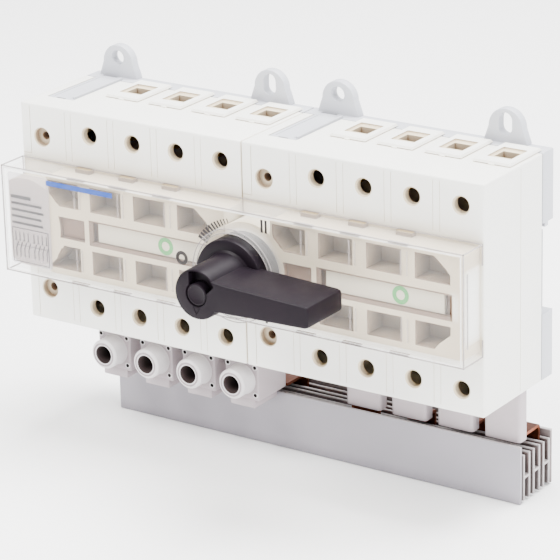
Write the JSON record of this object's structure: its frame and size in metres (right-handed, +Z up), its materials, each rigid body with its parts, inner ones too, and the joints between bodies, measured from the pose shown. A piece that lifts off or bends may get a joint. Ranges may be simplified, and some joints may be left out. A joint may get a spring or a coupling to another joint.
{
  "type": "manual transfer switch",
  "caption": "Manual changeover switch: two multi-pole switches side by side, one rotary handle under a clear cover, cable adapters and a comb busbar below.",
  "frame": {"origin": "point of the rail seat, the face that lies against the mounting rail, straight behind the handle's turning axis", "axes": "+X along the row of poles towards switch II, +Y towards the mounting rail or panel, +Z up towards the supply terminals"},
  "size_m": [0.2158, 0.0985, 0.1514],
  "materials": {
    "white_moulding": "warm white moulded polyamide, fine texture",
    "grey_moulding": "light cool grey moulded plastic",
    "rail_grey": "grey extruded plastic, smooth",
    "warm_grey": "warm grey moulded plastic",
    "dark_handle": "near black plastic with a violet cast, satin",
    "clear_plastic": "clear moulded polycarbonate with faintly pink edges",
    "card": "printed circuit diagram card",
    "cream_moulding": "cream moulded plastic",
    "brass": "stamped brass",
    "plated_screw": "yellow passivated steel",
    "copper": "bare copper strip",
    "spring_steel": "bright steel"
  },
  "bodies": {
    "root": {"case_I": "white_moulding", "case_II": "white_moulding", "base_I": "grey_moulding", "base_II": "grey_moulding", "clear_cover": "clear_plastic", "diagram_card": "card", "busbar_housing": "rail_grey", "terminal_I_L1_top": "brass", "clamp_screw_I_L1_top": "plated_screw", "terminal_I_L1_bottom": "brass", "clamp_screw_I_L1_bottom": "plated_screw", "terminal_I_L2_top": "brass", "clamp_screw_I_L2_top": "plated_screw", "terminal_I_L2_bottom": "brass", "clamp_screw_I_L2_bottom": "plated_screw", "terminal_I_L3_top": "brass", "clamp_screw_I_L3_top": "plated_screw", "terminal_I_L3_bottom": "brass", "clamp_screw_I_L3_bottom": "plated_screw", "terminal_I_N_top": "brass", "clamp_screw_I_N_top": "plated_screw", "terminal_I_N_bottom": "brass", "clamp_screw_I_N_bottom": "plated_screw", "terminal_II_L1_top": "brass", "clamp_screw_II_L1_top": "plated_screw", "terminal_II_L1_bottom": "brass", "clamp_screw_II_L1_bottom": "plated_screw", "terminal_II_L2_top": "brass", "clamp_screw_II_L2_top": "plated_screw", "terminal_II_L2_bottom": "brass", "clamp_screw_II_L2_bottom": "plated_screw", "terminal_II_L3_top": "brass", "clamp_screw_II_L3_top": "plated_screw", "terminal_II_L3_bottom": "brass", "clamp_screw_II_L3_bottom": "plated_screw", "terminal_II_N_top": "brass", "clamp_screw_II_N_top": "plated_screw", "terminal_II_N_bottom": "brass", "clamp_screw_II_N_bottom": "plated_screw", "cable_adapter_L1": "warm_grey", "prong_cover_L1": "warm_grey", "busbar_L1": "copper", "cable_adapter_L2": "warm_grey", "prong_cover_L2": "warm_grey", "busbar_L2": "copper", "cable_adapter_L3": "warm_grey", "prong_cover_L3": "warm_grey", "busbar_L3": "copper", "cable_adapter_N": "warm_grey", "prong_cover_N": "warm_grey", "busbar_N": "copper"},
    "handle": {"handle": "dark_handle", "handle_shaft": "spring_steel", "drive_pinion": "spring_steel", "plunger_spring": "spring_steel"},
    "plunger": {"lock_plunger": "dark_handle"},
    "carriage_I": {"carriage_I": "cream_moulding"},
    "carriage_II": {"carriage_II": "cream_moulding"},
    "rail_clip_I": {"rail_clip_I": "grey_moulding"},
    "rail_clip_II": {"rail_clip_II": "grey_moulding"}
  },
  "joints": [
    {"name": "handle_turn", "type": "hinge", "parent": "root", "child": "handle", "pos_m": [0, 0, 0], "axis": [0, 1, 0], "range_deg": [-90, 90]},
    {"name": "plunger_press", "type": "slide", "parent": "handle", "child": "plunger", "axis": [0, 1, 0], "range_m": [0, 0.003], "stiffness_N_per_m": 500, "springref_m": -0.002, "deforming": ["plunger_spring"]},
    {"name": "carriage_I_slide", "type": "slide", "parent": "root", "child": "carriage_I", "axis": [1, 0, 0], "range_m": [-0.0071, 0.0071]},
    {"name": "carriage_II_slide", "type": "slide", "parent": "root", "child": "carriage_II", "axis": [1, 0, 0], "range_m": [-0.0071, 0.0071]},
    {"name": "rail_clip_I_slide", "type": "slide", "parent": "root", "child": "rail_clip_I", "axis": [0, 0, -1], "range_m": [0, 0.003], "stiffness_N_per_m": 1500, "springref_m": -0.002},
    {"name": "rail_clip_II_slide", "type": "slide", "parent": "root", "child": "rail_clip_II", "axis": [0, 0, -1], "range_m": [0, 0.003], "stiffness_N_per_m": 1500, "springref_m": -0.002}
  ],
  "couplings": [
    {"joint": "carriage_I_slide", "follows": "handle_turn", "m_per_rad": -0.0045},
    {"joint": "carriage_II_slide", "follows": "handle_turn", "m_per_rad": 0.0045}
  ]
}
